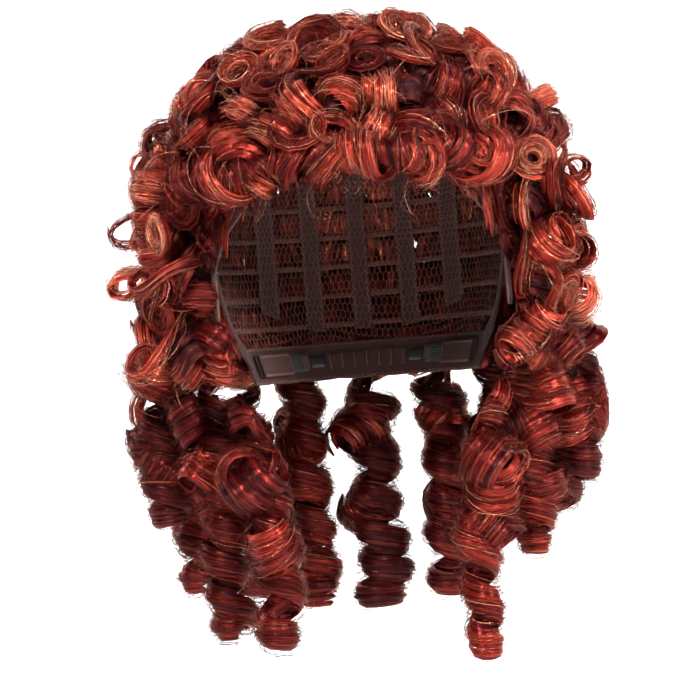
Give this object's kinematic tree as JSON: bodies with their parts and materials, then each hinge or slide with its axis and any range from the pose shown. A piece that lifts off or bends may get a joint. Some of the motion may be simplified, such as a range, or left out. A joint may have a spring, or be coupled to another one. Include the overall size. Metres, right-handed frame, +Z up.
{
  "type": "costume wig",
  "caption": "Curly auburn costume wig: a wefted stretch cap with ear tabs and nape adjusters, a rolled fringe, banks of curls and hanging ringlets.",
  "frame": {"origin": "centre of the head's widest circumference, where the head sits in the cap", "axes": "+Z up, towards the top of the head; the wig faces -Y; +X is on the right of someone who looks at the face"},
  "size_m": [0.2519, 0.2517, 0.341],
  "materials": {
    "hair": "glossy synthetic fibre",
    "cap_net": "matte stretch net",
    "cap_tape": "matte woven tape",
    "weft_tape": "stitched hair track",
    "elastic": "matte elastic",
    "plastic": "moulded black",
    "steel": "spring strip"
  },
  "bodies": {
    "cap": {"adjuster_casing_left": "cap_tape", "adjuster_casing_right": "cap_tape", "adjuster_loop_tape": "cap_tape", "back_lower_curls_left": "hair", "back_lower_curls_right": "hair", "back_upper_curls_left": "hair", "back_upper_curls_right": "hair", "crown_curls_left": "hair", "crown_curls_right": "hair", "crown_net": "cap_net", "fringe_curl_1": "hair", "fringe_curl_2": "hair", "fringe_curl_3": "hair", "fringe_curl_4": "hair", "fringe_curl_5": "hair", "fringe_curl_6": "hair", "front_band": "cap_tape", "front_curls_left": "hair", "front_curls_right": "hair", "nape_band": "cap_tape", "rib_centre": "cap_tape", "rib_left_inner": "cap_tape", "rib_left_outer": "cap_tape", "rib_right_inner": "cap_tape", "rib_right_outer": "cap_tape", "side_band_left": "cap_tape", "side_band_right": "cap_tape", "side_lower_curls_left": "hair", "side_lower_curls_right": "hair", "side_upper_curls_left": "hair", "side_upper_curls_right": "hair", "weft_track_1": "weft_tape", "weft_track_2": "weft_tape", "weft_track_3": "weft_tape", "weft_track_4": "weft_tape", "weft_track_5": "weft_tape", "weft_track_6": "weft_tape", "weft_track_7": "weft_tape", "weft_track_8": "weft_tape"},
    "ringlet_left_1": {"ringlet_left_1": "hair"},
    "ringlet_left_2": {"ringlet_left_2": "hair"},
    "ringlet_left_3": {"ringlet_left_3": "hair"},
    "ringlet_left_4": {"ringlet_left_4": "hair"},
    "ringlet_left_5": {"ringlet_left_5": "hair"},
    "ringlet_left_6": {"ringlet_left_6": "hair"},
    "ringlet_back": {"ringlet_back": "hair"},
    "ringlet_right_6": {"ringlet_right_6": "hair"},
    "ringlet_right_5": {"ringlet_right_5": "hair"},
    "ringlet_right_4": {"ringlet_right_4": "hair"},
    "ringlet_right_3": {"ringlet_right_3": "hair"},
    "ringlet_right_2": {"ringlet_right_2": "hair"},
    "ringlet_right_1": {"ringlet_right_1": "hair"},
    "adjuster_left": {"adjuster_strap_left": "elastic", "adjuster_hook_left": "plastic"},
    "ear_tab_left": {"ear_tab_left": "cap_tape", "ear_stay_left": "steel"},
    "adjuster_right": {"adjuster_strap_right": "elastic", "adjuster_hook_right": "plastic"},
    "ear_tab_right": {"ear_tab_right": "cap_tape", "ear_stay_right": "steel"}
  },
  "joints": [
    {"name": "ringlet_left_1_swing", "type": "hinge", "parent": "cap", "child": "ringlet_left_1", "pos_m": [-0.054, -0.018, -0.083], "axis": [-1, 0, 0], "range_deg": [-3, 25]},
    {"name": "ringlet_left_2_swing", "type": "hinge", "parent": "cap", "child": "ringlet_left_2", "pos_m": [-0.08, 0.006, -0.083], "axis": [0.0748, 0.9972, 0], "range_deg": [-3, 25]},
    {"name": "ringlet_left_3_swing", "type": "hinge", "parent": "cap", "child": "ringlet_left_3", "pos_m": [-0.11, 0.034, -0.083], "axis": [0.2953, 0.9554, 0], "range_deg": [-3, 25]},
    {"name": "ringlet_left_4_swing", "type": "hinge", "parent": "cap", "child": "ringlet_left_4", "pos_m": [-0.096, 0.066, -0.083], "axis": [0.5665, 0.824, 0], "range_deg": [-3, 25]},
    {"name": "ringlet_left_5_swing", "type": "hinge", "parent": "cap", "child": "ringlet_left_5", "pos_m": [-0.07, 0.09, -0.083], "axis": [0.7894, 0.6139, 0], "range_deg": [-3, 25]},
    {"name": "ringlet_left_6_swing", "type": "hinge", "parent": "cap", "child": "ringlet_left_6", "pos_m": [-0.038, 0.105, -0.083], "axis": [0.9403, 0.3403, 0], "range_deg": [-3, 25]},
    {"name": "ringlet_back_swing", "type": "hinge", "parent": "cap", "child": "ringlet_back", "pos_m": [0, 0.11, -0.083], "axis": [1, 0, 0], "range_deg": [-3, 25]},
    {"name": "ringlet_right_6_swing", "type": "hinge", "parent": "cap", "child": "ringlet_right_6", "pos_m": [0.038, 0.105, -0.083], "axis": [0.9403, -0.3403, 0], "range_deg": [-3, 25]},
    {"name": "ringlet_right_5_swing", "type": "hinge", "parent": "cap", "child": "ringlet_right_5", "pos_m": [0.07, 0.09, -0.083], "axis": [0.7894, -0.6139, 0], "range_deg": [-3, 25]},
    {"name": "ringlet_right_4_swing", "type": "hinge", "parent": "cap", "child": "ringlet_right_4", "pos_m": [0.096, 0.066, -0.083], "axis": [0.5665, -0.824, 0], "range_deg": [-3, 25]},
    {"name": "ringlet_right_3_swing", "type": "hinge", "parent": "cap", "child": "ringlet_right_3", "pos_m": [0.108, 0.034, -0.083], "axis": [0.3003, -0.9538, 0], "range_deg": [-3, 25]},
    {"name": "ringlet_right_2_swing", "type": "hinge", "parent": "cap", "child": "ringlet_right_2", "pos_m": [0.078, 0.006, -0.083], "axis": [0.0767, -0.9971, 0], "range_deg": [-3, 25]},
    {"name": "ringlet_right_1_swing", "type": "hinge", "parent": "cap", "child": "ringlet_right_1", "pos_m": [0.052, -0.018, -0.083], "axis": [-1, 0, 0], "range_deg": [-3, 25]},
    {"name": "adjuster_left_slide", "type": "hinge", "parent": "cap", "child": "adjuster_left", "pos_m": [0, 0.022, -0.062], "axis": [0, 0, -1], "range_deg": [0, 16]},
    {"name": "ear_tab_left_fold", "type": "hinge", "parent": "cap", "child": "ear_tab_left", "pos_m": [-0.0749, -0.029, -0.0145], "axis": [0, 1, 0], "range_deg": [-35, 15]},
    {"name": "adjuster_right_slide", "type": "hinge", "parent": "cap", "child": "adjuster_right", "pos_m": [0, 0.022, -0.062], "axis": [0, 0, 1], "range_deg": [0, 16]},
    {"name": "ear_tab_right_fold", "type": "hinge", "parent": "cap", "child": "ear_tab_right", "pos_m": [0.0749, -0.029, -0.0145], "axis": [0, -1, 0], "range_deg": [-35, 15]}
  ]
}
